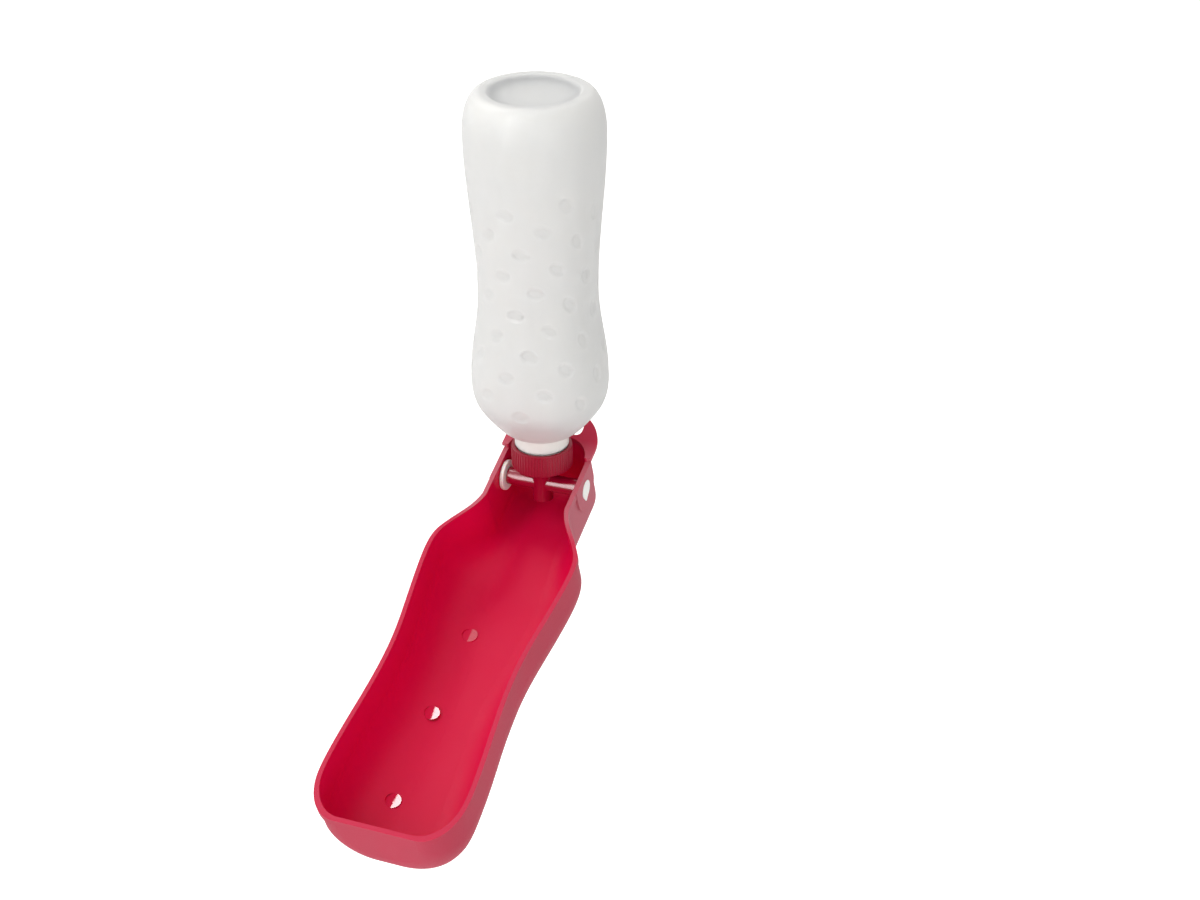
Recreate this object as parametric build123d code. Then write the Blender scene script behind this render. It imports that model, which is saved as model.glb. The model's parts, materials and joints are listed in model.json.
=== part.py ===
"""Travel water bottle for a dog: a squeezable bottle, held upside down, whose screw cap carries
a turning valve and a long drinking tray that folds back over the bottle."""
import os
from math import asin, cos, pi, radians, sin, sqrt

from build123d import *

# Driving dimensions, in millimetres and degrees. The part stands as it is held in use: bottle
# above, cap below. Heights are counted upwards from the spindle's axis, which crosses the
# bottle's axis; X runs along the spindle, and the tray hangs out on the -Y side.

# Bottle, blow moulded
neck_radius = 14.0            # bare neck between cap and shoulder
neck_bore_radius = 10.85
finish_radius = 12.45         # under the thread
thread_depth = 1.25
thread_pitch = 2.7
thread_turns = 1.2
thread_start = 16.3           # lower end of the neck's thread
thread_root_width = 1.7
thread_crest_width = 0.7
thread_root_sink = 0.2        # how deep the thread's root lies in the neck
lip_height = 14.2             # the mouth's sealing face
finish_top = 23.7             # where the finish steps out to the bare neck
shoulder_height = 31.0
shoulder_bulge_height = 63.0
shoulder_bulge_radius = 35.0
shoulder_curve = ((0.36, 0.14), (0.66, 0.37))   # shares of the shoulder's reach and of its rise
waist_height = 113.0          # the grip, and the part's origin
waist_radius = 30.0
base_height = 214.0
base_bulge_radius = 34.7
base_corner_height = 20.0     # from the base down to where the wall is widest
base_ring_radius = 26.0       # outer edge of the flat ring that the bottle stands on
base_ring_width = 3.0
base_dish_depth = 3.5
bottle_wall = 1.3

# Screw cap with its valve barrel and nozzle
cap_radius = 15.6
cap_top = 23.1
cap_plate = 1.8
cap_thread_clearance = 0.3
cap_thread_root_width = 1.2
cap_thread_crest_width = 0.6
cap_thread_root_sink = 0.1
cap_edge_round = 0.8
grip_rib_count = 60
grip_rib_radius = 0.35
nozzle_radius = 5.5
nozzle_bottom = -9.5
water_way_radius = 1.6
barrel_radius = 4.6
barrel_left = -18.9

# Gasket, spindle, collar and O-rings
gasket_thickness = 1.4
gasket_edge_round = 0.25
seat_gap = 0.05               # between the gasket and what it seals
gasket_hole_radius = 4.0
spindle_radius = 3.0
spindle_running_clearance = 0.05
spindle_tip_chamfer = 0.5
o_ring_section_radius = 0.49
o_ring_groove_width = 1.2
o_ring_offset = 6.5           # each side of the water way
key_radius = 5.0              # round part of the teardrop key
key_point = 7.2               # from the spindle's axis down to the key's tip
key_tip_round = 0.8
key_proud = 0.15
key_clearance = 0.1
collar_radius = 8.1
collar_thickness = 2.2
collar_bore_clearance = 0.02
end_gap = 0.3                 # free play between barrel, collar, key and ears

# Tray: s is counted along it from the spindle, and depths down from the spindle's level
tray_open_angle = 70.0        # from hanging straight down to the open stop
tray_wall = 1.6
rim_height = 9.7
lip_width = 0.7
rim_lip_depth = 4.2
ear_half_width = 23.3         # over the wall and without the lip, as all of the tray's half widths
ear_end = 20.0
ear_depth = 32.0
ear_corner = 13.0
head_end = 23.8               # the head's closed end, ahead of the spindle
head_corner = 15.8
bulge_station = 57.0
bulge_half_width = 39.3
tray_waist_station = 127.5
tray_waist_half_width = 33.4
end_half_width = 37.4
tray_end = 221.0
bowl_depth = 35.2
bowl_corner = 27.6
end_corner_length = 25.0      # of each far corner along the tray
end_corner_draw = 17.0        # how far the far corners draw in to the end wall
end_corner = 16.0             # bottom corner radius at the end wall, from bowl_corner before it
end_rise = 18.5               # how far the floor rounds up to the end wall
end_rise_length = 21.0
boss_radius = 11.5
boss_height = 1.0
pin_mark_radius = 4.0         # flat spots that the mould's ejector pins leave in the bowl
pin_mark_stations = (81.5, 132.0, 183.0)
pin_mark_side = -15.5
pin_mark_sink = 1.0           # below the bowl's surface on the side where it climbs

# Hanging tab at the tray's head
tab_start = 10.3              # ahead of the spindle
tab_top = 12.7
tab_thickness = 2.0
tab_radius = 25.0
tab_centre = 16.5
slot_half_width = 14.0
slot_ring_width = 4.5
slot_bridge = 2.5
slot_corner = 3.0

# How the bowl's loft is divided, and how far a cutting form runs past the face that it cuts
swell_section_count = 7
waist_section_count = 4
corner_section_count = 7
overcut = 0.1

# Sizes that follow from those above
cap_bottom = lip_height - gasket_thickness - 2 * seat_gap - cap_plate
base_bulge_height = base_height - base_corner_height
end_bulge_station = tray_end - end_corner_length
collar_right = barrel_left - end_gap
collar_left = collar_right - collar_thickness
ear_inner_face = ear_half_width - tray_wall
boss_face = ear_half_width + boss_height
barrel_right = ear_inner_face - end_gap
barrel_bore_radius = spindle_radius + spindle_running_clearance
skirt_inner_radius = finish_radius + thread_depth + cap_thread_clearance
to_grip = Location((0, 0, -waist_height))
to_open_tray = Rotation(90 - tray_open_angle, 0, 0)


def blend(position, start, end, first, last):
    """Smooth step from first to last, level at both ends."""
    share = min(max((position - start) / (end - start), 0.0), 1.0)
    return first + (last - first) * (1 - cos(pi * share)) / 2


def helical_ridge(root_radius, crest_radius, root_width, crest_width, start):
    """A thread's ridge, from its root radius to its crest radius."""
    path = Helix(thread_pitch, thread_pitch * thread_turns, root_radius, center=(0, 0, start))
    section_plane = Plane(origin=path @ 0, x_dir=(1, 0, 0), z_dir=path % 0)
    depth = crest_radius - root_radius
    with BuildSketch(section_plane) as section:
        with BuildLine():
            Polyline((0, -root_width / 2), (depth, -crest_width / 2), (depth, crest_width / 2),
                     (0, root_width / 2), close=True)
        make_face()
    return sweep(section.sketch, path=path, is_frenet=True)


def bottle_outline(inset):
    """Half section of the bottle's body in (radius, height), moved inwards by inset."""
    neck = neck_radius if inset == 0 else neck_bore_radius
    shoulder = (neck, shoulder_height + inset)
    reach = shoulder_bulge_radius - neck_radius
    rise = shoulder_bulge_height - shoulder_height
    bulge = (shoulder_bulge_radius - inset, shoulder_bulge_height)
    waist = (waist_radius - inset, waist_height)
    base_bulge = (base_bulge_radius - inset, base_bulge_height)
    base_edge = (base_ring_radius - inset, base_height - inset)
    dish_edge = (base_ring_radius - base_ring_width - inset, base_height - inset)
    dish_floor = (0, base_height - base_dish_depth - inset)
    (low_reach, low_rise), (high_reach, high_rise) = shoulder_curve
    with BuildLine() as line:
        Spline(shoulder,
               (neck_radius + low_reach * reach - inset, shoulder_height + low_rise * rise + inset / 2),
               (neck_radius + high_reach * reach - inset, shoulder_height + high_rise * rise),
               bulge, tangents=[(1, 0.25), (0, 1)])
        Spline(bulge, waist, tangents=[(0, 1), (0, 1)])
        Spline(waist, base_bulge, tangents=[(0, 1), (0, 1)])
        EllipticalCenterArc((base_edge[0], base_bulge_height), base_bulge_radius - base_ring_radius,
                            base_corner_height - inset, arc_size=90)
        Line(base_edge, dish_edge)
        Spline(dish_edge, dish_floor, tangents=[(-0.8, -0.6), (-1, 0)])
        Line(dish_floor, (0, shoulder_height))
        Line((0, shoulder_height), (neck, shoulder_height))
        if inset:
            Line((neck, shoulder_height), shoulder)
    return line.line


def revolved(outline):
    """Turn a half section in (radius, height) about the bottle's axis."""
    return revolve(Plane.XZ * make_face(outline.edges()), Axis.Z)


def tube(outer, inner, bottom, top):
    """A ring from bottom to top about the bottle's axis."""
    ring = Circle(outer) - Circle(inner) if inner else Circle(outer)
    return extrude(Plane.XY.offset(bottom) * ring, top - bottom)


def make_bottle():
    body = revolved(bottle_outline(0)) + tube(neck_radius, 0, finish_top, shoulder_height)
    body += tube(finish_radius, 0, lip_height, finish_top)
    body += helical_ridge(finish_radius - thread_root_sink, finish_radius + thread_depth,
                          thread_root_width, thread_crest_width, thread_start)
    body -= revolved(bottle_outline(bottle_wall))
    return body - tube(neck_bore_radius, 0, lip_height, shoulder_height + overcut)


def along_x(radius, start, end):
    """A round bar about the spindle's axis."""
    return extrude(Plane.YZ.offset(start) * Circle(radius), end - start)


def make_cap():
    shell = tube(cap_radius, 0, cap_bottom, cap_top)
    shell = fillet(shell.edges().group_by(Axis.Z)[0], cap_edge_round)
    ribs = Plane.XY.offset(cap_bottom + cap_edge_round) * PolarLocations(cap_radius, grip_rib_count)
    shell += [extrude(place * Circle(grip_rib_radius), cap_top - cap_bottom - 2 * cap_edge_round)
              for place in ribs]
    shell -= tube(skirt_inner_radius, 0, cap_bottom + cap_plate, cap_top)
    shell += tube(nozzle_radius, 0, nozzle_bottom, cap_bottom + cap_plate / 2)
    shell += along_x(barrel_radius, barrel_left, barrel_right)
    shell -= along_x(barrel_bore_radius, barrel_left, barrel_right)
    shell -= tube(water_way_radius, 0, nozzle_bottom, cap_bottom + cap_plate)
    crest = finish_radius + cap_thread_clearance
    shell += helical_ridge(skirt_inner_radius + cap_thread_root_sink, crest, cap_thread_root_width,
                           cap_thread_crest_width, thread_start + thread_pitch / 2)
    return shell


def make_gasket():
    bottom = cap_bottom + cap_plate + seat_gap
    ring = tube(skirt_inner_radius - cap_thread_clearance, gasket_hole_radius,
                bottom, bottom + gasket_thickness)
    return fillet(ring.edges(), gasket_edge_round)


def teardrop(radius, point):
    """Teardrop on the YZ plane, its point down."""
    half_angle = asin(radius / point)
    touch = (radius * cos(half_angle), -radius * sin(half_angle))
    with BuildLine() as line:
        ThreePointArc((-touch[0], touch[1]), (0, radius), touch)
        Polyline(touch, (0, -point), (-touch[0], touch[1]))
    return make_face(line.edges())


def make_spindle():
    tip = -(boss_face - key_proud)
    shaft = along_x(spindle_radius, tip, barrel_right + end_gap)
    shaft = chamfer(shaft.edges().group_by(Axis.X)[0], spindle_tip_chamfer)
    key = teardrop(key_radius, key_point)
    key = fillet(key.vertices().group_by(Axis.Y)[0], key_tip_round)
    head = extrude(Plane.YZ.offset(barrel_right + end_gap) * key,
                   boss_face + key_proud - barrel_right - end_gap)
    shaft += head
    for side in (-1, 1):
        middle = side * o_ring_offset
        groove = along_x(spindle_radius + overcut, middle - o_ring_groove_width / 2,
                         middle + o_ring_groove_width / 2)
        shaft -= groove - along_x(spindle_radius - 2 * o_ring_section_radius,
                                  middle - o_ring_groove_width / 2, middle + o_ring_groove_width / 2)
    return shaft - tube(water_way_radius, 0, -spindle_radius - overcut, spindle_radius + overcut)


def make_o_rings():
    ring = Torus(spindle_radius - o_ring_section_radius, o_ring_section_radius)
    return Compound([Pos(side * o_ring_offset, 0, 0) * Rotation(0, 90, 0) * ring for side in (-1, 1)])


def make_collar():
    ring = along_x(collar_radius, collar_left, collar_right)
    ring = fillet(ring.edges(), collar_thickness / 4)
    return ring - along_x(spindle_radius + collar_bore_clearance, collar_left, collar_right)


def half_width(station):
    """The wall's outer half width at a station before the far corners."""
    if station < bulge_station:
        return blend(station, ear_end, bulge_station, ear_half_width, bulge_half_width)
    if station < tray_waist_station:
        return blend(station, bulge_station, tray_waist_station, bulge_half_width, tray_waist_half_width)
    return blend(station, tray_waist_station, end_bulge_station, tray_waist_half_width, end_half_width)


def bowl_stations(inset):
    """Stations from the ears to the end wall, closing up round the far corners, with the half
    width, depth and bottom corner radius of the bowl at each, all moved inwards by inset."""
    spans = [(ear_end, bulge_station, swell_section_count),
             (bulge_station, tray_waist_station, waist_section_count),
             (tray_waist_station, end_bulge_station, waist_section_count)]
    plain = [start + (end - start) * step / count for start, end, count in spans for step in range(count)]
    stations = [(place, half_width(place), blend(place, ear_end, bulge_station, ear_corner, bowl_corner))
                for place in plain]
    for step in range(corner_section_count + 1):
        turn = radians(90 * step / corner_section_count)
        closing = 1 - cos(turn)
        stations.append((end_bulge_station + (end_corner_length - inset) * sin(turn),
                         end_half_width - end_corner_draw * closing,
                         bowl_corner - (bowl_corner - end_corner) * closing))
    rows = []
    for place, width, corner in stations:
        depth = blend(place, ear_end, bulge_station, ear_depth, bowl_depth)
        into_rise = max(0.0, (place - (tray_end - inset - end_rise_length)) / end_rise_length)
        rise = end_rise * (1 - sqrt(max(0.0, 1 - into_rise ** 2)))
        rows.append((place, width - inset, depth - inset - rise, corner - inset))
    return rows


def bowl_body(inset, top):
    """The bowl from the ears to the end wall, as a closed form up to a level top."""
    sections = []
    for place, width, depth, corner in bowl_stations(inset):
        plane = Plane(origin=(0, -place, 0), x_dir=(1, 0, 0), z_dir=(0, -1, 0))
        with BuildLine(plane) as line:
            Line((-width, top), (-width, corner - depth))
            RadiusArc((-width, corner - depth), (corner - width, -depth), -corner)
            Line((corner - width, -depth), (width - corner, -depth))
            RadiusArc((width - corner, -depth), (width, corner - depth), -corner)
            Line((width, corner - depth), (width, top))
            Line((width, top), (-width, top))
        sections.append(make_face(line.edges()))
    return loft(sections)


def floor_height(side, station):
    """The bowl's inner surface under a point of the rim plane, before the floor rises."""
    climb = blend(station, ear_end, bulge_station, ear_corner, bowl_corner) - tray_wall
    into_corner = max(0.0, abs(side) - (half_width(station) - tray_wall - climb))
    return tray_wall - bowl_depth + climb - sqrt(climb ** 2 - into_corner ** 2)


def pin_mark(station, top):
    """A round bar square to the rim plane, from the pin mark's flat down or up to top."""
    flat = floor_height(abs(pin_mark_side) + pin_mark_radius, station) - pin_mark_sink
    disc = Pos(pin_mark_side, -station, flat) * Circle(pin_mark_radius)
    return extrude(disc, top - flat)


def head_plan(inset):
    """The head seen from above, from its rounded end to where the bowl starts."""
    plan = Pos(0, -ear_end) * Rectangle(2 * (ear_half_width - inset), ear_end + head_end - inset,
                                        align=(Align.CENTER, Align.MIN))
    return fillet(plan.vertices().group_by(Axis.Y)[-1], head_corner - inset)


def head_body(inset, top):
    """The round head about the spindle, from its closed end to where the bowl starts."""
    bottom = -(ear_depth - inset)
    head = extrude(Plane.XY.offset(bottom) * head_plan(inset), top - bottom)
    lowest = head.edges().group_by(Axis.Z)[0]
    closed_end = [edge for edge in lowest if edge.center().Y > overcut - ear_end]
    return fillet(closed_end, ear_corner - inset)


def rim_lip():
    """Flat band round the rim, a lip's width proud of the wall."""
    to_rim = Pos(0, -ear_end, rim_height)
    ears = to_rim * Box(2 * (ear_half_width + lip_width), ear_end + tab_start, rim_lip_depth,
                        align=(Align.CENTER, Align.MIN, Align.MAX))
    slab = to_rim * Box(4 * bulge_half_width, tray_end, rim_lip_depth,
                        align=(Align.CENTER, Align.MAX, Align.MAX))
    return ears + (bowl_body(-lip_width, rim_height) & slab)


def hanging_tab():
    """The raised tab beyond the head, with the slot that it hangs by."""
    plan = Pos(0, tab_centre) * Circle(tab_radius)
    plan += Pos(0, tab_start) * Rectangle(2 * tab_radius, tab_centre - tab_start,
                                          align=(Align.CENTER, Align.MIN))
    plan -= Pos(0, tab_start) * Rectangle(4 * tab_radius, 4 * tab_radius, align=(Align.CENTER, Align.MAX))
    slot = Pos(0, tab_centre) * Circle(tab_radius - slot_ring_width)
    slot &= Rectangle(2 * slot_half_width, 4 * tab_radius)
    slot -= head_plan(tray_wall - slot_bridge)
    slot = slot.faces().sort_by(Axis.Y)[-1]
    slot = fillet(slot.vertices(), slot_corner)
    return extrude(Plane.XY.offset(tab_top - tab_thickness) * (plan - slot), tab_thickness)


def ear_boss(side):
    """The raised pad on an ear's outer face, open to the rim."""
    pad = Circle(boss_radius) + Rectangle(2 * boss_radius, rim_height, align=(Align.CENTER, Align.MIN))
    pad &= Pos(0, rim_height) * Rectangle(2 * boss_radius, boss_radius + rim_height,
                                          align=(Align.CENTER, Align.MAX))
    wall_face = ear_half_width - tray_wall / 2
    return extrude(Plane.YZ.offset(side * wall_face) * pad, side * (boss_face - wall_face))


def make_tray():
    body = bowl_body(0, rim_height) + head_body(0, tab_top)
    body -= Pos(0, tab_start, rim_height) * Box(4 * ear_half_width, 4 * tray_end, 4 * rim_height,
                                                align=(Align.CENTER, Align.MAX, Align.MIN))
    body += rim_lip()
    body += hanging_tab()
    body += ear_boss(-1)
    body += ear_boss(1)
    body -= bowl_body(tray_wall, tab_top) + head_body(tray_wall, tab_top)
    to_middle_of_wall = bowl_body(tray_wall / 2, rim_height)
    for station in pin_mark_stations:
        body += pin_mark(station, -bowl_depth) & to_middle_of_wall
        body -= pin_mark(station, 0)
    body -= along_x(barrel_bore_radius, -boss_face, 0)
    body = to_open_tray * body
    keyhole = teardrop(key_radius + key_clearance, key_point + 2 * key_clearance)
    return body - extrude(Plane.YZ * keyhole, boss_face)


pieces = {
    "bottle": make_bottle,
    "cap": make_cap,
    "cap_gasket": make_gasket,
    "valve_spindle": make_spindle,
    "spindle_o_rings": make_o_rings,
    "spindle_collar": make_collar,
    "tray": make_tray,
}

if __name__ == "__main__":
    os.makedirs("parts", exist_ok=True)
    for name, make in pieces.items():
        export_step(to_grip * make(), f"parts/{name}.step")
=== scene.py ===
"""Looks of a dog's travel water bottle: a milky squeeze bottle, its red screw cap with the turning
valve, and the long red drinking tray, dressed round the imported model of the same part."""
import json
from math import cos, pi, radians, sin

import bmesh
import bpy
from mathutils import Matrix, Vector
from mathutils.bvhtree import BVHTree


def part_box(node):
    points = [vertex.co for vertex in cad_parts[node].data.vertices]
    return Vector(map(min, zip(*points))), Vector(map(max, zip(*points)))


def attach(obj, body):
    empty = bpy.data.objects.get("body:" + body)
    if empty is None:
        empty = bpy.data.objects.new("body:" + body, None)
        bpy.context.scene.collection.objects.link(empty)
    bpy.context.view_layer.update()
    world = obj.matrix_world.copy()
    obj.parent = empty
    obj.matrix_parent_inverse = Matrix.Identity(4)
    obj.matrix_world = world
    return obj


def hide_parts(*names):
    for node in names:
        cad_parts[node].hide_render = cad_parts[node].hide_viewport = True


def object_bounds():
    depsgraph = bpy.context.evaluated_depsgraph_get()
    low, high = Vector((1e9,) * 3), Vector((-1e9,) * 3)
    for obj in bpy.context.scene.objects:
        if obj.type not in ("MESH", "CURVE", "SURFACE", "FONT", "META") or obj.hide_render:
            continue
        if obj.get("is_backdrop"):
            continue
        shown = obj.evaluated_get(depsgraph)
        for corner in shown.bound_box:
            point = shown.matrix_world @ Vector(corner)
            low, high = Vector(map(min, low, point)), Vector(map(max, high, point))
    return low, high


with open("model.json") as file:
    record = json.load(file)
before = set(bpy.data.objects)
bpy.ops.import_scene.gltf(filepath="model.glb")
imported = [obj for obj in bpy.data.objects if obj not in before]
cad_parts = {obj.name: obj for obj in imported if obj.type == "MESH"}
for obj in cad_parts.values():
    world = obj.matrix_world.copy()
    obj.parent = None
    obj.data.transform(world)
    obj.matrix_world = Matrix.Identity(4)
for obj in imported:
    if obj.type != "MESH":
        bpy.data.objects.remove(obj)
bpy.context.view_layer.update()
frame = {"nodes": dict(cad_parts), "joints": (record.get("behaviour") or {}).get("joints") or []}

bl_info = {
    "name": "Dog Travel Water Bottle",
    "version": (1, 0, 0),
    "blender": (4, 5, 0),
    "location": "View3D > Sidebar > Water Bottle",
    "description": "Builds the finishes and modelled surfaces of a travel water bottle for a dog",
    "category": "Object",
}

MM = 0.001
PIVOT = Vector(frame["joints"][2]["pos_m"])      # the spindle's axis, where it crosses the bottle's
OPEN_ANGLE = radians(70.0)                       # of the open tray, from hanging straight down
OPEN_ALONG = Vector((0.0, -sin(OPEN_ANGLE), -cos(OPEN_ANGLE)))
OPEN_UP = Vector((0.0, -cos(OPEN_ANGLE), sin(OPEN_ANGLE)))


def linear(hex_colour):
    """An sRGB hex colour as linear red, green, blue and full alpha."""
    parts = [int(hex_colour.lstrip("#")[i:i + 2], 16) / 255 for i in (0, 2, 4)]
    return tuple(c / 12.92 if c <= 0.04045 else ((c + 0.055) / 1.055) ** 2.4 for c in parts) + (1.0,)


def hex_property(name, description, default):
    """A colour that a user picks, kept as sRGB hex."""
    return bpy.props.StringProperty(name=name, description=description, default=default)


def length_property(name, description, default_mm):
    """A length in metres that a user may change."""
    return bpy.props.FloatProperty(name=name, description=description, default=default_mm * MM,
                                   min=0.0, precision=5, subtype="DISTANCE", unit="LENGTH")


# ---------------------------------------------------------------------------- settings

class BottleSettings(bpy.types.PropertyGroup):
    """What shapes and colours the bottle."""
    milk: hex_property("Plastic", "Colour of the milky polyethylene", "#E2DFD8")
    shade: hex_property("Thick plastic", "Cooler tone where the wall is thicker", "#DCDBD8")
    shoulder_centre: length_property("Shoulder centre", "Widest place of the shoulder above the spindle", 63.0)
    shoulder_edge: length_property("Shoulder edge", "Where the neck meets the shoulder, above the spindle", 31.0)
    neck_step: length_property("Neck step", "Where the neck steps out above its thread, above the spindle", 23.7)
    base_corner: length_property("Base corner", "Height of the rounding at the base", 20.0)
    base_ring: length_property("Base ring", "Outer radius of the flat ring at the base", 26.0)
    thread_start: length_property("Thread start", "Lower end of the thread above the spindle", 16.3)
    thread_pitch: length_property("Thread pitch", "Rise of the thread in one turn", 2.7)
    thread_depth: length_property("Thread depth", "How far the thread stands out of the neck", 1.25)
    thread_turns: bpy.props.FloatProperty(name="Thread turns", description="Turns of the thread", default=1.2,
                                          min=0.1)
    turn_segments: bpy.props.IntProperty(name="Segments", description="Facets round the bottle", default=240,
                                         min=24)
    dimple_count: bpy.props.IntProperty(name="Dimples", description="Shallow ovals sunk round the grip",
                                        default=74, min=1)
    dimple_depth: length_property("Dimple depth", "How far an oval is sunk", 0.42)
    dimple_length: length_property("Dimple length", "Half the length of an oval", 4.8)
    dimple_width: length_property("Dimple width", "Half the width of an oval", 3.2)


class RedSettings(bpy.types.PropertyGroup):
    """Colours of the tray and the cap."""
    tray: hex_property("Tray", "Colour of the tray's polypropylene", "#D00040")
    # Painted sheen: the tray's outside, and its rim at 0.7 of the strength, are painted in this paler tone, which
    # stands in for the white surroundings that the satin faces reflect. On the cap the same tone is a faint dust in
    # random patches.
    tray_sheen_and_dust: hex_property("Tray bloom", "Paler tone of the satin outside", "#A82C43")
    # Painted sheen: the outside of the ears and the head is painted in this paler, greyer tone, which stands in for
    # the sheen of faces seen at a grazing angle; it fades out over the reach below.
    ear_sheen_colour: hex_property("Tray wear", "Greyer tone on the ears, where the tray is handled", "#B5707A")
    ear_sheen_reach: length_property("Handled reach", "How far the ears' wear reaches along the tray", 32.0)
    cap: hex_property("Cap", "Colour of the cap's polypropylene", "#900226")
    grain: length_property("Grain", "Size of the moulded grain on the satin faces", 0.55)
    mark_start: length_property("First pin mark", "From the spindle's axis to the first pin mark", 81.5)
    mark_spacing: length_property("Pin mark spacing", "From one pin mark to the next", 50.75)
    mark_side: length_property("Pin mark side", "From the tray's middle to the pin marks", 15.5)
    mark_radius: length_property("Pin mark radius", "Radius of a pin mark", 4.0)


class ValveSettings(bpy.types.PropertyGroup):
    """Colours of the valve's small pieces."""
    acetal: hex_property("White acetal", "Colour of the spindle and its collar", "#EEEDE9")
    nitrile: hex_property("Black nitrile", "Colour of the O-rings", "#1A1A1B")
    seal: hex_property("Seal", "Colour of the cap's gasket", "#D9D8D3")


class StageSettings(bpy.types.PropertyGroup):
    """Camera, light and floor."""
    azimuth: bpy.props.FloatProperty(name="Azimuth", description="Camera's angle round the bottle, in degrees",
                                     default=20.61)
    elevation: bpy.props.FloatProperty(name="Elevation", description="Camera's angle above the horizon, in degrees",
                                       default=29.58)
    roll: bpy.props.FloatProperty(name="Roll", description="Camera's turn about its own axis, in degrees",
                                  default=-0.41)
    distance: length_property("Distance", "From the camera to the plane through the spindle", 1047.5)
    lens: bpy.props.FloatProperty(name="Lens", description="Focal length in mm on a 36 mm sensor", default=60.0)
    pivot_right: bpy.props.FloatProperty(name="Pivot across", subtype="PIXEL", default=542.82,
                                         description="Spindle's place in the 1200 by 900 picture, from the left")
    pivot_down: bpy.props.FloatProperty(name="Pivot down", subtype="PIXEL", default=481.28,
                                        description="Spindle's place in the 1200 by 900 picture, from the top")
    floor: hex_property("Floor", "Colour of the floor", "#F7F7F6")
    floor_drop: length_property("Floor drop", "How far the floor lies below the part", 420.0)
    world_strength: bpy.props.FloatProperty(name="World", description="Strength of the soft light from all round",
                                            default=0.74, min=0.0)
    key_power: bpy.props.FloatProperty(name="Key", description="Power of the large light on the left", default=8.2,
                                       min=0.0)


# ---------------------------------------------------------------------------- nodes and materials

def add_node(tree, kind, links=None, **settings):
    """Adds a node. Settings that name an input set its default, and links join inputs to outputs."""
    node = tree.nodes.new(kind)
    for name, value in settings.items():
        label = name.replace("_", " ")
        sockets = [s for s in node.inputs if s.name.lower() == label.lower() and s.enabled]
        if sockets:
            sockets[0].default_value = value
        elif hasattr(node, name):
            setattr(node, name, value)
        else:
            raise ValueError(f"{kind} has no setting or input {name}")
    for key, output in (links or {}).items():
        tree.links.new(output, node.inputs[key])
    return node


def new_material(name):
    """An empty material with its shader and its output, and its node tree."""
    material = bpy.data.materials.new(name)
    material.use_nodes = True
    tree = material.node_tree
    tree.nodes.clear()
    shader = add_node(tree, "ShaderNodeBsdfPrincipled")
    add_node(tree, "ShaderNodeOutputMaterial", {"Surface": shader.outputs[0]})
    return material, tree, shader


def place(tree):
    """The surface's own place in metres."""
    return add_node(tree, "ShaderNodeTexCoord").outputs["Object"]


def noise(tree, size_mm, detail=2.0, stretch=(1.0, 1.0, 1.0), turn=0.0):
    """Noise whose lumps measure about size_mm, drawn out along an axis where stretch is above 1."""
    mapping = add_node(tree, "ShaderNodeMapping", {"Vector": place(tree)})
    mapping.inputs["Rotation"].default_value = (turn, 0.0, 0.0)
    mapping.inputs["Scale"].default_value = [1 / s for s in stretch]
    return add_node(tree, "ShaderNodeTexNoise", {"Vector": mapping.outputs[0]},
                    scale=1 / (size_mm * MM), detail=detail)


def spread(tree, value, low, high, smooth=False):
    """Stretches a 0 to 1 value over low to high."""
    node = add_node(tree, "ShaderNodeMapRange", {"Value": value}, to_min=low, to_max=high)
    if smooth:
        node.interpolation_type = "SMOOTHSTEP"
    return node


def blend_colours(tree, share, first, second):
    """A colour between two, by a share from 0 to 1."""
    mix = add_node(tree, "ShaderNodeMix", data_type="RGBA")
    tree.links.new(share, mix.inputs["Factor"])
    for socket, colour in (("A", first), ("B", second)):
        port = [s for s in mix.inputs if s.name == socket and s.type == "RGBA"][0]
        if isinstance(colour, tuple):
            port.default_value = colour
        else:
            tree.links.new(colour, port)
    return [s for s in mix.outputs if s.type == "RGBA"][0]


def maths(tree, operation, *values):
    """One step of arithmetic in a tree."""
    node = add_node(tree, "ShaderNodeMath", operation=operation)
    for port, value in zip(node.inputs, values):
        if isinstance(value, (int, float)):
            port.default_value = value
        else:
            tree.links.new(value, port)
    return node.outputs[0]


def mixed(tree, share, first, second):
    """A value between two, by a share from 0 to 1."""
    node = add_node(tree, "ShaderNodeMapRange", {"Value": share})
    for port, value in (("To Min", first), ("To Max", second)):
        if isinstance(value, (int, float)):
            node.inputs[port].default_value = value
        else:
            tree.links.new(value, node.inputs[port])
    return node.outputs[0]


def bumps(tree, shader, *layers):
    """Stacks bump layers of (height output, depth in mm) on the shader."""
    normal = None
    for height, depth_mm in layers:
        node = add_node(tree, "ShaderNodeBump", {"Height": height}, distance=depth_mm * MM, strength=1.0)
        if normal:
            tree.links.new(normal, node.inputs["Normal"])
        normal = node.outputs[0]
    tree.links.new(normal, shader.inputs["Normal"])


def set_shader(shader, **values):
    """Sets the shader's own sockets, which hold what is the same all over the surface."""
    for name, value in values.items():
        shader.inputs[name.replace("_", " ")].default_value = value


def milky_polyethylene(settings):
    """Blow-moulded low-density polyethylene: soft, waxy and milky, with light carried inside its
    wall, slow waves from the mould and a peel as fine as skin."""
    material, tree, shader = new_material("milky_polyethylene")
    set_shader(shader, IOR=1.51, Subsurface_Weight=1.0, Subsurface_Scale=6 * MM, Specular_IOR_Level=0.4)
    shader.inputs["Subsurface Radius"].default_value = (1.0, 0.97, 0.94)
    cloud = noise(tree, 30.0, detail=3.0)
    colour = blend_colours(tree, cloud.outputs["Fac"], linear(settings.milk), linear(settings.shade))
    tree.links.new(colour, shader.inputs["Base Color"])
    peel = noise(tree, 1.8, detail=3.0)
    rough = spread(tree, cloud.outputs["Fac"], 0.30, 0.42)
    tree.links.new(rough.outputs[0], shader.inputs["Roughness"])
    bumps(tree, shader, (peel.outputs["Fac"], 0.02), (cloud.outputs["Fac"], 0.25))
    return material


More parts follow.
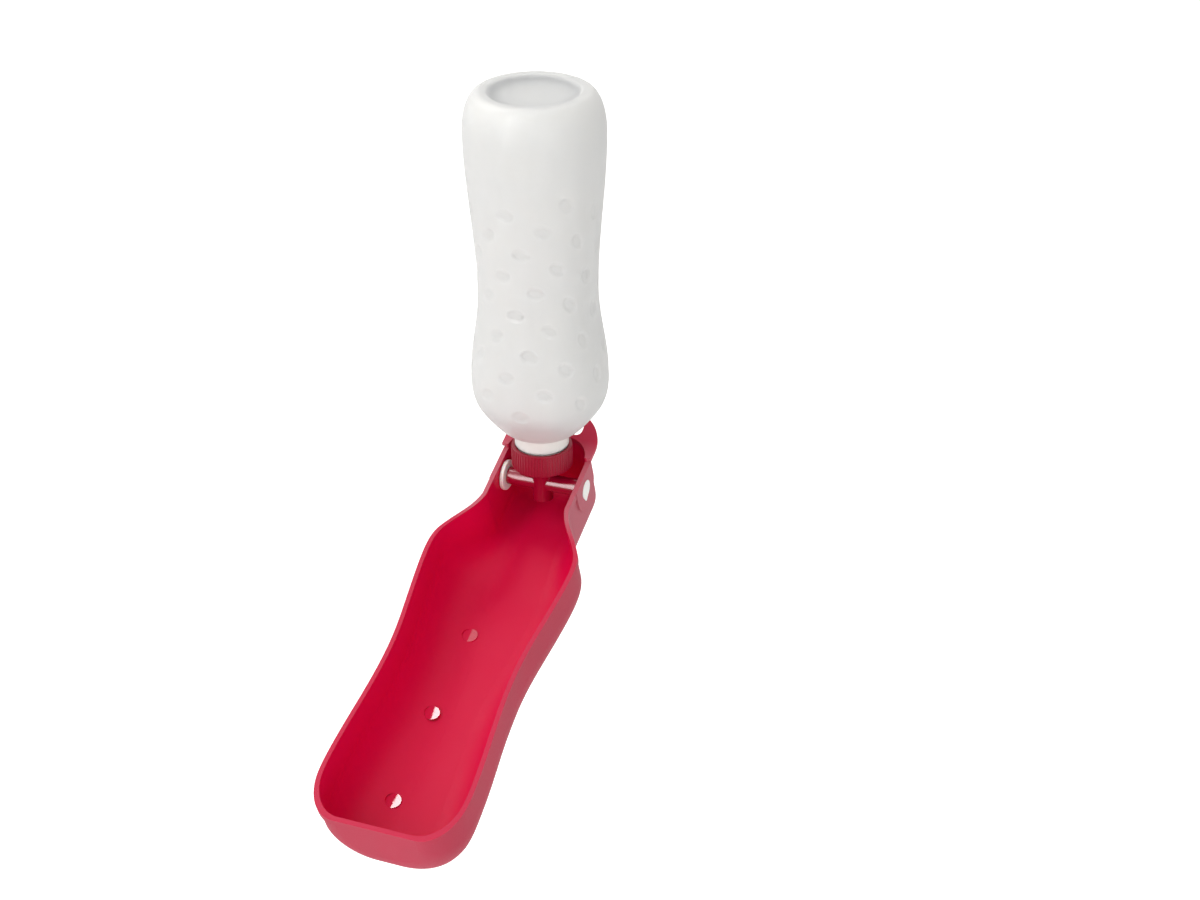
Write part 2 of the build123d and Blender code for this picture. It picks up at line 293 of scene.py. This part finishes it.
def along_tray(tree, direction):
    """How far a face lies from the spindle's axis along a direction of the open tray, in metres."""
    offset = add_node(tree, "ShaderNodeVectorMath", {0: place(tree)}, operation="SUBTRACT")
    offset.inputs[1].default_value = PIVOT
    reach = add_node(tree, "ShaderNodeVectorMath", {0: offset.outputs[0]}, operation="DOT_PRODUCT")
    reach.inputs[1].default_value = direction
    return reach.outputs["Value"]


def rim_share(tree):
    """1 on the tray's rim, which lies in one plane, and 0 below it."""
    return maths(tree, "GREATER_THAN", along_tray(tree, OPEN_UP), 9.3 * MM)


def outward_share(tree):
    """1 on the tray's outside and 0 inside its bowl. Outside, a face looks away from a line that
    runs along the bowl."""
    facing_own_way = add_node(tree, "ShaderNodeTexCoord").outputs["Normal"]      # turns with the tray
    height = along_tray(tree, OPEN_UP)
    tilt = add_node(tree, "ShaderNodeVectorMath", {0: facing_own_way}, operation="DOT_PRODUCT")
    tilt.inputs[1].default_value = OPEN_UP
    normal = add_node(tree, "ShaderNodeSeparateXYZ", {0: facing_own_way})
    spot = add_node(tree, "ShaderNodeSeparateXYZ", {0: place(tree)})
    across = maths(tree, "MULTIPLY", spot.outputs["X"], normal.outputs["X"])
    up = maths(tree, "MULTIPLY", maths(tree, "SUBTRACT", height, 6 * MM), tilt.outputs["Value"])
    forward = add_node(tree, "ShaderNodeVectorMath", {0: facing_own_way}, operation="DOT_PRODUCT")
    forward.inputs[1].default_value = OPEN_ALONG
    middle = maths(tree, "SUBTRACT", along_tray(tree, OPEN_ALONG), 98 * MM)
    far = maths(tree, "MULTIPLY", middle, forward.outputs["Value"])
    facing = maths(tree, "ADD", maths(tree, "ADD", across, up), far)
    outside = add_node(tree, "ShaderNodeMapRange", {"Value": facing}, from_min=-0.003, from_max=0.003)
    past_ear = maths(tree, "GREATER_THAN", maths(tree, "ABSOLUTE", spot.outputs["X"]), 22.4 * MM)
    at_head = maths(tree, "LESS_THAN", along_tray(tree, OPEN_ALONG), 20 * MM)
    return maths(tree, "MAXIMUM", outside.outputs[0], maths(tree, "MULTIPLY", past_ear, at_head))


def pin_mark_share(tree, settings):
    """1 where the flats that the mould's ejector pins left stand proud of the bowl, which is their
    half nearer the tray's middle."""
    along = maths(tree, "SUBTRACT", along_tray(tree, OPEN_ALONG), settings.mark_start)
    half = settings.mark_spacing / 2
    near = add_node(tree, "ShaderNodeMath", {0: along}, operation="WRAP")
    near.inputs[1].default_value = half
    near.inputs[2].default_value = -half
    side = add_node(tree, "ShaderNodeSeparateXYZ", {0: place(tree)})
    beside = maths(tree, "ADD", side.outputs["X"], settings.mark_side)
    away = maths(tree, "ADD", maths(tree, "POWER", near.outputs[0], 2.0), maths(tree, "POWER", beside, 2.0))
    close = maths(tree, "MULTIPLY", maths(tree, "LESS_THAN", away, settings.mark_radius ** 2),
                  maths(tree, "GREATER_THAN", beside, 0.0))
    run = maths(tree, "MULTIPLY", maths(tree, "GREATER_THAN", along, -half),
                maths(tree, "LESS_THAN", along, 2 * settings.mark_spacing + half))
    return maths(tree, "MULTIPLY", close, run)


def tray_polypropylene(settings):
    """Injection-moulded polypropylene: smooth inside, so that the dog's water runs, polished
    where the ejector pins pressed, and satin outside with a fine moulded grain. The outside and
    the rim carry a painted sheen in a paler tone, and the outside of the ears a paler, greyer one."""
    material, tree, shader = new_material("tray_polypropylene")
    set_shader(shader, IOR=1.49, Specular_IOR_Level=0.25, Subsurface_Weight=0.12,
               Subsurface_Scale=1.5 * MM, Coat_IOR=1.8, Coat_Roughness=0.05)
    shader.inputs["Subsurface Radius"].default_value = (1.0, 0.12, 0.16)
    outside = outward_share(tree)
    rim = rim_share(tree)
    inside = maths(tree, "SUBTRACT", 1.0, maths(tree, "MAXIMUM", outside, rim))
    marks = maths(tree, "MULTIPLY", pin_mark_share(tree, settings), inside)
    cloud = noise(tree, 34.0, detail=3.0)
    grain = noise(tree, settings.grain / MM, detail=3.0)
    flow = noise(tree, 9.0, detail=2.0, stretch=(1.0, 14.0, 1.0), turn=radians(-20.0))
    patchy = spread(tree, cloud.outputs["Fac"], 0.7, 1.1)
    # Painted sheen: the paler tone on the outside, and on the rim at 0.7, stands in for the white surroundings these
    # faces reflect; it varies in random patches.
    painted_sheen = maths(tree, "MULTIPLY", mixed(tree, rim, outside, 0.7), patchy.outputs[0])
    reds = blend_colours(tree, painted_sheen, linear(settings.tray), linear(settings.tray_sheen_and_dust))
    # Painted sheen: the outside near the spindle's end, the ears and the head, is painted paler and greyer still,
    # fading out along the tray, for the sheen of grazing faces.
    from_ear = maths(tree, "ABSOLUTE", maths(tree, "SUBTRACT", along_tray(tree, OPEN_ALONG), 10 * MM))
    head = add_node(tree, "ShaderNodeMapRange", {"Value": from_ear},
                    from_min=settings.ear_sheen_reach, from_max=0.6 * settings.ear_sheen_reach)
    ear_sheen_share = maths(tree, "MULTIPLY", maths(tree, "MULTIPLY", head.outputs[0], outside), 0.55)
    colour = blend_colours(tree, ear_sheen_share, reds, linear(settings.ear_sheen_colour))
    tree.links.new(colour, shader.inputs["Base Color"])
    smooth = spread(tree, flow.outputs["Fac"], 0.40, 0.50)
    satin = spread(tree, grain.outputs["Fac"], 0.46, 0.62)
    rough = mixed(tree, outside, smooth.outputs[0], satin.outputs[0])
    tree.links.new(mixed(tree, marks, rough, 0.08), shader.inputs["Roughness"])
    tree.links.new(marks, shader.inputs["Coat Weight"])
    grain_outside = maths(tree, "MULTIPLY", grain.outputs["Fac"], outside)
    flow_inside = maths(tree, "MULTIPLY", flow.outputs["Fac"], inside)
    bumps(tree, shader, (grain_outside, 0.03), (flow_inside, 0.012))
    return material


def cap_polypropylene(settings):
    """The cap's polypropylene: the tray's red a shade deeper, satin and finely scuffed round its
    ribs, and polished by its mould on the barrel and the nozzle."""
    material, tree, shader = new_material("cap_polypropylene")
    set_shader(shader, IOR=1.49, Specular_IOR_Level=0.4, Subsurface_Weight=0.08, Subsurface_Scale=1 * MM,
               Coat_IOR=1.6, Coat_Roughness=0.14)
    cloud = noise(tree, 7.0, detail=4.0)
    scuff = noise(tree, 0.9, detail=4.0, stretch=(1.0, 1.0, 3.0))
    share = spread(tree, cloud.outputs["Fac"], -0.1, 0.7)
    # A faint paler tone in random patches: dust on the cap, in the tone that the tray's outside is painted with for
    # its sheen.
    faint = maths(tree, "MULTIPLY", share.outputs[0], 0.1)
    colour = blend_colours(tree, faint, linear(settings.cap), linear(settings.tray_sheen_and_dust))
    tree.links.new(colour, shader.inputs["Base Color"])
    height = add_node(tree, "ShaderNodeSeparateXYZ", {0: place(tree)}).outputs["Z"]
    ribs = add_node(tree, "ShaderNodeMapRange", {"Value": height}, from_min=PIVOT.z + 7.5 * MM,
                    from_max=PIVOT.z + 9 * MM).outputs[0]
    scuffed = spread(tree, scuff.outputs["Fac"], 0.26, 0.42)
    polished = spread(tree, scuff.outputs["Fac"], 0.19, 0.25)
    tree.links.new(mixed(tree, ribs, polished.outputs[0], scuffed.outputs[0]), shader.inputs["Roughness"])
    tree.links.new(mixed(tree, ribs, 0.8, 0.0), shader.inputs["Coat Weight"])
    bumps(tree, shader, (scuff.outputs["Fac"], 0.004))
    return material


def plain_moulding(name, colour, low_rough, high_rough, grain_mm, depth_mm, **shader_values):
    """A small moulding of one colour, with its own grain and a slight change of gloss."""
    material, tree, shader = new_material(name)
    set_shader(shader, **shader_values)
    grain = noise(tree, grain_mm, detail=3.0)
    cloud = noise(tree, grain_mm * 9, detail=2.0)
    dimmer = tuple(c * 0.93 for c in linear(colour)[:3]) + (1.0,)
    tone = blend_colours(tree, cloud.outputs["Fac"], linear(colour), dimmer)
    tree.links.new(tone, shader.inputs["Base Color"])
    rough = spread(tree, grain.outputs["Fac"], low_rough, high_rough)
    tree.links.new(rough.outputs[0], shader.inputs["Roughness"])
    bumps(tree, shader, (grain.outputs["Fac"], depth_mm))
    return material


def white_acetal(settings):
    """Moulded acetal: dense, waxy white with a low even gloss."""
    return plain_moulding("white_acetal", settings.acetal, 0.30, 0.42, 0.8, 0.012, IOR=1.48,
                          Subsurface_Weight=0.25, Subsurface_Scale=1.2 * MM)


def black_nitrile(settings):
    """Moulded nitrile rubber: near black, oily smooth from its mould."""
    return plain_moulding("black_nitrile", settings.nitrile, 0.38, 0.55, 0.35, 0.01, IOR=1.52)


def sealing_rubber(settings):
    """Die-cut sealing rubber: off-white and dead matte."""
    return plain_moulding("sealing_rubber", settings.seal, 0.70, 0.85, 0.4, 0.03, IOR=1.5)


def dress(node, material):
    """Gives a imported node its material."""
    mesh = frame["nodes"][node].data
    mesh.materials.clear()
    mesh.materials.append(material)


# ---------------------------------------------------------------------------- the bottle

class WallProbe:
    """Finds the bottle's own wall, inside and out, by looking along straight lines at its frame."""

    def __init__(self, node):
        mesh = frame["nodes"][node].data
        self.tree = BVHTree.FromPolygons([v.co for v in mesh.vertices], [p.vertices for p in mesh.polygons])
        self.reach = 0.2

    def hit(self, start, towards):
        """Radius and height of the first wall from start."""
        found = self.tree.ray_cast(start, towards.normalized())[0]
        if found is None:
            raise ValueError(f"no wall from {start} towards {towards}")
        return found.xy.length, found.z

    def across(self, centre, angle, outside, side=0.0):
        """The wall met from a centre on the axis, at an angle above the level."""
        direction = Vector((cos(angle) * cos(side), cos(angle) * sin(side), sin(angle)))
        if outside:
            return self.hit(centre + direction * self.reach, -direction)
        return self.hit(centre, direction)

    def down(self, radius, start, outside):
        """The base met from above, or from inside the bottle."""
        direction = Vector((0.0, 0.0, -1.0 if outside else 1.0))
        return self.hit(Vector((radius, 0.0, start)), direction)


def steps(first, last, count):
    """Evenly spaced values with both ends."""
    return [first + (last - first) * i / (count - 1) for i in range(count)]


def bottle_profile(settings):
    """Half section of the whole bottle from the inside of its base, down the inside, round the
    mouth and up the outside to the middle of its base, as (radius, height)."""
    probe = WallProbe("bottle")
    mouth, base = (corner.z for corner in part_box("bottle"))
    shoulder = PIVOT.z + settings.shoulder_centre
    edge = PIVOT.z + settings.shoulder_edge
    step = PIVOT.z + settings.neck_step
    corner = base - settings.base_corner
    hair = 0.02 * MM
    axis = Vector((0.0, 0.0, 1.0))

    def side(outside):
        """One face of the wall, from the neck's shoulder edge to the middle of the base."""
        neck_angle = -radians(64.0 if outside else 68.0)
        rim_angle = radians(36.0)
        shoulder_rows, wall_rows, corner_rows, base_rows = (46, 150, 26, 34) if outside else (24, 40, 14, 14)
        points = [probe.across(axis * shoulder, a, outside) for a in steps(neck_angle, 0.0, shoulder_rows)]
        points += [probe.across(axis * z, 0.0, outside) for z in steps(shoulder, corner, wall_rows)[1:]]
        points += [probe.across(axis * corner, a, outside) for a in steps(0.0, rim_angle, corner_rows)[1:]]
        start = base + probe.reach if outside else corner
        ring = settings.base_ring - (0.0 if outside else 1.6 * MM)
        points += [probe.down(r, start, outside) for r in steps(ring, 0.01 * MM, base_rows)]
        return points

    bare_finish = min(probe.across(axis * (mouth + step) / 2, 0.0, True, radians(a))[0] for a in range(0, 360, 15))
    neck = probe.across(axis * (step + 1.5 * MM), 0.0, True)[0]
    bore = probe.across(axis * (step + 1.5 * MM), 0.0, False)[0]
    soften = 0.35 * MM
    outside = [(bore, mouth + soften), (bore + soften, mouth), (bare_finish - soften, mouth),
               (bare_finish, mouth + soften), (bare_finish, step - hair), (neck - soften, step),
               (neck, step + soften)]
    outside += [(neck, z) for z in steps(step + 2 * soften, edge, 8)]
    inside = [(bore, z) for z in steps(edge, mouth + 2 * soften, 8)]
    return list(reversed(side(False))) + inside + outside + side(True)


def socket_of(tree, name):
    """Identifier of a node group's named input."""
    return next(i.identifier for i in tree.interface.items_tree if i.name == name and i.in_out == "INPUT")


def group_tree(name, inputs):
    """A geometry node tree with named inputs of (kind, default) and one geometry output."""
    tree = bpy.data.node_groups.new(name, "GeometryNodeTree")
    tree.interface.new_socket("Geometry", in_out="OUTPUT", socket_type="NodeSocketGeometry")
    for label, (kind, default) in inputs.items():
        port = tree.interface.new_socket(label, in_out="INPUT", socket_type=f"NodeSocket{kind}")
        if default is not None:
            port.default_value = default
    return tree, add_node(tree, "NodeGroupInput").outputs, add_node(tree, "NodeGroupOutput").inputs


def revolve_tree():
    """Turns a profile's points about the upright axis and sinks shallow ovals through its wall."""
    tree, given, result = group_tree("turned_shell", {
        "Profile": ("Object", None), "Spots": ("Object", None), "Segments": ("Int", 192),
        "Points": ("Int", 2), "Dimple Depth": ("Float", 0.0), "Dimple Length": ("Float", 0.005),
        "Dimple Width": ("Float", 0.003), "Material": ("Material", None)})
    segments = maths(tree, "ADD", given["Segments"], 1.0)
    grid = add_node(tree, "GeometryNodeMeshGrid", {"Vertices X": segments, "Vertices Y": given["Points"]})
    index = add_node(tree, "GeometryNodeInputIndex").outputs[0]
    column = maths(tree, "FLOOR", maths(tree, "DIVIDE", maths(tree, "ADD", index, 0.5), given["Points"]))
    row = maths(tree, "SUBTRACT", index, maths(tree, "MULTIPLY", column, given["Points"]))
    turn = maths(tree, "MULTIPLY", maths(tree, "DIVIDE", column, given["Segments"]), 2 * pi)
    profile = add_node(tree, "GeometryNodeObjectInfo", {"Object": given["Profile"]})
    here = add_node(tree, "GeometryNodeInputPosition").outputs[0]
    point = add_node(tree, "GeometryNodeSampleIndex", {"Geometry": profile.outputs["Geometry"]},
                     data_type="FLOAT_VECTOR", domain="POINT")
    tree.links.new(here, point.inputs["Value"])
    tree.links.new(row, point.inputs["Index"])
    flat = add_node(tree, "ShaderNodeSeparateXYZ", {0: point.outputs["Value"]})
    radius, height = flat.outputs["X"], flat.outputs["Z"]

    spots = add_node(tree, "GeometryNodeObjectInfo", {"Object": given["Spots"]}).outputs["Geometry"]
    surface = add_node(tree, "ShaderNodeCombineXYZ", {
        "X": maths(tree, "MULTIPLY", radius, maths(tree, "COSINE", turn)),
        "Y": maths(tree, "MULTIPLY", radius, maths(tree, "SINE", turn)), "Z": height}).outputs[0]
    nearest = add_node(tree, "GeometryNodeSampleNearest", {"Geometry": spots, "Sample Position": surface},
                       domain="POINT")
    spot = add_node(tree, "GeometryNodeSampleIndex", {"Geometry": spots, "Index": nearest.outputs[0]},
                    data_type="FLOAT_VECTOR", domain="POINT")
    tree.links.new(here, spot.inputs["Value"])
    away = add_node(tree, "ShaderNodeVectorMath", {0: surface, 1: spot.outputs["Value"]}, operation="SUBTRACT")
    apart = add_node(tree, "ShaderNodeSeparateXYZ", {0: away.outputs[0]})
    across = maths(tree, "SUBTRACT", maths(tree, "MULTIPLY", apart.outputs["Y"], maths(tree, "COSINE", turn)),
                   maths(tree, "MULTIPLY", apart.outputs["X"], maths(tree, "SINE", turn)))
    lean = maths(tree, "MULTIPLY", nearest.outputs[0], 2.4)       # radians between one oval's lean and the next
    along = maths(tree, "ADD", maths(tree, "MULTIPLY", apart.outputs["Z"], maths(tree, "COSINE", lean)),
                  maths(tree, "MULTIPLY", across, maths(tree, "SINE", lean)))
    beside = maths(tree, "SUBTRACT", maths(tree, "MULTIPLY", across, maths(tree, "COSINE", lean)),
                   maths(tree, "MULTIPLY", apart.outputs["Z"], maths(tree, "SINE", lean)))
    reach = maths(tree, "ADD", maths(tree, "POWER", maths(tree, "DIVIDE", along, given["Dimple Length"]), 2.0),
                  maths(tree, "POWER", maths(tree, "DIVIDE", beside, given["Dimple Width"]), 2.0))
    sink = add_node(tree, "ShaderNodeMapRange", {"Value": reach}, from_min=0.5, from_max=1.0, to_min=1.0,
                    to_max=0.0, interpolation_type="SMOOTHSTEP").outputs[0]
    far = maths(tree, "SUBTRACT", radius, maths(tree, "MULTIPLY", sink, given["Dimple Depth"]))
    final = add_node(tree, "ShaderNodeCombineXYZ", {
        "X": maths(tree, "MULTIPLY", far, maths(tree, "COSINE", turn)),
        "Y": maths(tree, "MULTIPLY", far, maths(tree, "SINE", turn)), "Z": height}).outputs[0]
    moved = add_node(tree, "GeometryNodeSetPosition", {"Geometry": grid.outputs["Mesh"], "Position": final})
    closed = add_node(tree, "GeometryNodeMergeByDistance", {"Geometry": moved.outputs[0]}, distance=0.02 * MM)
    real = add_node(tree, "GeometryNodeRealizeInstances", {"Geometry": closed.outputs[0]})
    dressed = add_node(tree, "GeometryNodeSetMaterial", {"Geometry": real.outputs[0], "Material": given["Material"]})
    tree.links.new(dressed.outputs[0], result["Geometry"])
    return tree


def thread_tree():
    """A thread's ridge: an eight-sided section drawn along a spiral, tapering out at both ends."""
    tree, given, result = group_tree("neck_thread", {
        "Radius": ("Float", 0.0125), "Start": ("Float", 0.0), "Pitch": ("Float", 0.0027),
        "Turns": ("Float", 1.2), "Depth": ("Float", 0.00125), "Material": ("Material", None)})
    rise = maths(tree, "MULTIPLY", given["Pitch"], given["Turns"])
    spiral = add_node(tree, "GeometryNodeCurveSpiral", {
        "Rotations": given["Turns"], "Start Radius": given["Radius"], "End Radius": given["Radius"],
        "Height": rise}, resolution=72)
    lift = add_node(tree, "ShaderNodeCombineXYZ", {"Z": given["Start"]})
    lifted = add_node(tree, "GeometryNodeSetPosition", {"Geometry": spiral.outputs[0], "Offset": lift.outputs[0]})
    along = add_node(tree, "GeometryNodeSplineParameter").outputs["Factor"]
    from_end = maths(tree, "MINIMUM", along, maths(tree, "SUBTRACT", 1.0, along))
    fade = maths(tree, "MINIMUM", maths(tree, "ADD", maths(tree, "MULTIPLY", from_end, 12.0), 0.25), 1.0)
    shaped = add_node(tree, "GeometryNodeSetCurveRadius", {"Curve": lifted.outputs[0], "Radius": fade})
    upright = add_node(tree, "GeometryNodeSetCurveNormal", {"Curve": shaped.outputs[0]}, mode="Z_UP")
    section = add_node(tree, "GeometryNodeCurvePrimitiveCircle", {"Radius": given["Depth"]}, resolution=8)
    ridge = add_node(tree, "GeometryNodeCurveToMesh", {"Curve": upright.outputs[0],
                                                       "Profile Curve": section.outputs[0]}, fill_caps=True)
    real = add_node(tree, "GeometryNodeRealizeInstances", {"Geometry": ridge.outputs[0]})
    dressed = add_node(tree, "GeometryNodeSetMaterial", {"Geometry": real.outputs[0], "Material": given["Material"]})
    tree.links.new(dressed.outputs[0], result["Geometry"])
    return tree


def points_object(name, points):
    """An object of loose points."""
    mesh = bpy.data.meshes.new(name)
    mesh.from_pydata(points, [], [])
    thing = bpy.data.objects.new(name, mesh)
    bpy.context.scene.collection.objects.link(thing)
    return thing


def grown(tree, values):
    """The plain mesh that a geometry node tree makes from its inputs."""
    holder = points_object("holder", [(0.0, 0.0, 0.0)])
    modifier = holder.modifiers.new("shape", "NODES")
    modifier.node_group = tree
    for name, value in values.items():
        modifier[socket_of(tree, name)] = value
    depsgraph = bpy.context.evaluated_depsgraph_get()
    mesh = bpy.data.meshes.new_from_object(holder.evaluated_get(depsgraph))
    holder.modifiers.clear()
    bpy.data.objects.remove(holder)
    return mesh


def settle(mesh, sharp_degrees):
    """Turns a closed mesh's faces outwards and shades it smooth up to an angle."""
    work = bmesh.new()
    work.from_mesh(mesh)
    bmesh.ops.recalc_face_normals(work, faces=work.faces)
    if work.calc_volume(signed=True) < 0:
        bmesh.ops.reverse_faces(work, faces=work.faces)
    work.to_mesh(mesh)
    work.free()
    mesh.shade_smooth()
    mesh.set_sharp_from_angle(angle=radians(sharp_degrees))


def dimple_spots(settings, probe_radius):
    """Centres of the shallow ovals, spread round the grip by the golden angle."""
    low, high = PIVOT.z + 52 * MM, PIVOT.z + 168 * MM
    golden = radians(137.5)
    spots = []
    for i in range(settings.dimple_count):
        height = low + (high - low) * (i + 0.5) / settings.dimple_count
        radius = probe_radius(height)
        spots.append((radius * cos(i * golden), radius * sin(i * golden), height))
    return spots


def add_piece(name, mesh, body):
    """Links a finished mesh as a piece that rides on a body."""
    piece = bpy.data.objects.new(name, mesh)
    bpy.context.scene.collection.objects.link(piece)
    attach(piece, body)
    return piece


class BOTTLE_OT_shell(bpy.types.Operator):
    """Builds the bottle's blown shell with its dimples and its neck's thread"""
    bl_idname = "water_bottle.shell"
    bl_label = "Bottle"

    def execute(self, context):
        settings = context.scene.bottle_settings
        material = milky_polyethylene(settings)
        profile = bottle_profile(settings)
        probe = WallProbe("bottle")
        first_outside = max(range(len(profile)), key=lambda i: -profile[i][1])
        line = points_object("profile", [(r, 0.0, z) for r, z in profile])
        spots = points_object("spots", dimple_spots(
            settings, lambda z: probe.across(Vector((0, 0, z)), 0.0, True)[0]))
        shell = grown(revolve_tree(), {
            "Profile": line, "Spots": spots, "Segments": settings.turn_segments, "Points": len(profile),
            "Dimple Depth": settings.dimple_depth, "Dimple Length": settings.dimple_length,
            "Dimple Width": settings.dimple_width, "Material": material})
        for helper in (line, spots):
            bpy.data.objects.remove(helper)
        settle(shell, 40.0)
        bottle = add_piece("bottle_shell", shell, "bottle")
        finish = min(r for r, z in profile[first_outside + 2:first_outside + 5])
        ridge = grown(thread_tree(), {
            "Radius": finish + 0.2 * MM, "Start": PIVOT.z + settings.thread_start,
            "Pitch": settings.thread_pitch, "Turns": settings.thread_turns,
            "Depth": settings.thread_depth - 0.25 * MM, "Material": material})
        settle(ridge, 40.0)
        add_piece("bottle_thread", ridge, "bottle")
        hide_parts("bottle")
        return {"FINISHED"}


class BOTTLE_OT_reds(bpy.types.Operator):
    """Finishes the tray and the cap in their red polypropylene"""
    bl_idname = "water_bottle.reds"
    bl_label = "Tray and Cap"

    def execute(self, context):
        settings = context.scene.red_settings
        dress("tray", tray_polypropylene(settings))
        dress("cap", cap_polypropylene(settings))
        return {"FINISHED"}


class BOTTLE_OT_valve(bpy.types.Operator):
    """Finishes the valve's spindle, collar, O-rings and the cap's gasket"""
    bl_idname = "water_bottle.valve"
    bl_label = "Valve"

    def execute(self, context):
        settings = context.scene.valve_settings
        acetal = white_acetal(settings)
        dress("valve_spindle", acetal)
        dress("spindle_collar", acetal)
        dress("spindle_o_rings", black_nitrile(settings))
        dress("cap_gasket", sealing_rubber(settings))
        return {"FINISHED"}


# ---------------------------------------------------------------------------- the stage

def stage_world(settings):
    """White all round: full white where it is seen, softer where it lights."""
    world = bpy.data.worlds.new("studio")
    bpy.context.scene.world = world
    world.use_nodes = True
    tree = world.node_tree
    tree.nodes.clear()
    path = add_node(tree, "ShaderNodeLightPath")
    seen = maths(tree, "MAXIMUM", path.outputs["Is Camera Ray"],
                 maths(tree, "MAXIMUM", path.outputs["Is Glossy Ray"], path.outputs["Is Transmission Ray"]))
    strength = add_node(tree, "ShaderNodeMapRange", {"Value": seen}, to_min=settings.world_strength, to_max=1.0)
    sky = add_node(tree, "ShaderNodeBackground", {"Strength": strength.outputs[0]}, color=linear("#FFFFFF"))
    add_node(tree, "ShaderNodeOutputWorld", {"Surface": sky.outputs[0]})


def stage_floor(settings):
    """A pale matte floor well below the part."""
    low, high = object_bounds()
    level = low[2] - settings.floor_drop
    half = 6.0
    mesh = bpy.data.meshes.new("floor")
    mesh.from_pydata([(-half, -half, level), (half, -half, level), (half, half, level), (-half, half, level)],
                     [], [(0, 1, 2, 3)])
    floor = bpy.data.objects.new("floor", mesh)
    bpy.context.scene.collection.objects.link(floor)
    material, tree, shader = new_material("matte_floor_paint")
    set_shader(shader, Roughness=0.9, Specular_IOR_Level=0.2)
    tone = noise(tree, 400.0, detail=2.0)
    tree.links.new(blend_colours(tree, tone.outputs["Fac"], linear(settings.floor), linear("#FBFBFB")),
                   shader.inputs["Base Color"])
    path = add_node(tree, "ShaderNodeLightPath")
    glow = add_node(tree, "ShaderNodeMapRange", {"Value": path.outputs["Is Camera Ray"]}, to_min=0.0, to_max=0.5)
    shader.inputs["Emission Color"].default_value = linear("#FFFFFF")
    tree.links.new(glow.outputs[0], shader.inputs["Emission Strength"])
    mesh.materials.append(material)
    floor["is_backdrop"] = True


def aim(thing, location, target):
    """Puts a light at a place, looking at a target."""
    direction = (Vector(target) - Vector(location)).normalized()
    thing.matrix_world = Matrix.Translation(location) @ direction.to_track_quat("-Z", "Y").to_matrix().to_4x4()


def stage_lights(settings):
    """One large soft light high on the left, a broad weak one in front on the right, a tall narrow
    one in front on the left, which the barrel mirrors, and a small one high behind, which the
    flats of the pin marks mirror."""
    middle = (0.0, -0.07, -0.08)
    for name, location, width, height, power in (
            ("key", (-0.95, 0.02, 1.0), 0.65, 0.65, settings.key_power * 0.5),
            ("fill", (1.1, -1.5, 0.35), 1.4, 1.4, settings.key_power * 1.2),
            ("glint", (-0.42, -1.15, 0.55), 0.26, 1.6, settings.key_power),
            ("mark_glint", (-0.5, 0.05, 1.05), 0.24, 0.16, settings.key_power * 0.1)):
        light = bpy.data.lights.new(name, "AREA")
        light.shape = "RECTANGLE"
        light.size = width
        light.size_y = height
        light.energy = power
        lamp = bpy.data.objects.new(name, light)
        bpy.context.scene.collection.objects.link(lamp)
        aim(lamp, location, middle)


def stage_camera(settings):
    """The photograph's camera, from its angles and the spindle's place in the picture."""
    azimuth, elevation, roll = (radians(a) for a in (settings.azimuth, settings.elevation, settings.roll))
    back = Vector((sin(azimuth) * cos(elevation), -cos(azimuth) * cos(elevation), sin(elevation)))
    level_right = Vector((cos(azimuth), sin(azimuth), 0.0))
    level_up = back.cross(level_right)
    right = cos(roll) * level_right + sin(roll) * level_up
    up = -sin(roll) * level_right + cos(roll) * level_up
    picture_width, picture_height, sensor = 1200.0, 900.0, 36.0
    per_pixel = settings.distance * sensor / (settings.lens * picture_width)
    across = (settings.pivot_right - picture_width / 2) * per_pixel
    down = (settings.pivot_down - picture_height / 2) * per_pixel
    location = PIVOT + back * settings.distance - right * across + up * down
    data = bpy.data.cameras.new("camera")
    data.lens = settings.lens
    data.sensor_width = sensor
    data.sensor_fit = "HORIZONTAL"
    data.clip_end = 50.0
    camera = bpy.data.objects.new("camera", data)
    bpy.context.scene.collection.objects.link(camera)
    camera.matrix_world = Matrix.Translation(location) @ Matrix((right, up, back)).transposed().to_4x4()
    bpy.context.scene.camera = camera


class BOTTLE_OT_stage(bpy.types.Operator):
    """Sets the floor, the light and the photograph's camera"""
    bl_idname = "water_bottle.stage"
    bl_label = "Stage"

    def execute(self, context):
        settings = context.scene.stage_settings
        context.scene.view_settings.view_transform = "Standard"
        stage_world(settings)
        stage_floor(settings)
        stage_lights(settings)
        stage_camera(settings)
        return {"FINISHED"}


class BOTTLE_PT_panel(bpy.types.Panel):
    """Lists the builders and their settings"""
    bl_idname = "BOTTLE_PT_panel"
    bl_label = "Water Bottle"
    bl_space_type = "VIEW_3D"
    bl_region_type = "UI"
    bl_category = "Water Bottle"

    def draw(self, context):
        for operator in OPERATORS:
            self.layout.operator(operator.bl_idname)
        for name in SETTINGS:
            group = getattr(context.scene, name)
            box = self.layout.box()
            for key in group.bl_rna.properties.keys():
                if key not in ("rna_type", "name"):
                    box.prop(group, key)


SETTINGS = {"bottle_settings": BottleSettings, "red_settings": RedSettings, "valve_settings": ValveSettings,
            "stage_settings": StageSettings}
OPERATORS = (BOTTLE_OT_shell, BOTTLE_OT_reds, BOTTLE_OT_valve, BOTTLE_OT_stage)
CLASSES = tuple(SETTINGS.values()) + OPERATORS + (BOTTLE_PT_panel,)


def register():
    for kind in CLASSES:
        bpy.utils.register_class(kind)
    for name, kind in SETTINGS.items():
        setattr(bpy.types.Scene, name, bpy.props.PointerProperty(type=kind))


def unregister():
    for name in SETTINGS:
        delattr(bpy.types.Scene, name)
    for kind in reversed(CLASSES):
        bpy.utils.unregister_class(kind)


def main():
    register()
    bpy.ops.water_bottle.shell()
    bpy.ops.water_bottle.reds()
    bpy.ops.water_bottle.valve()
    bpy.ops.water_bottle.stage()


if __name__ == "__main__":
    main()
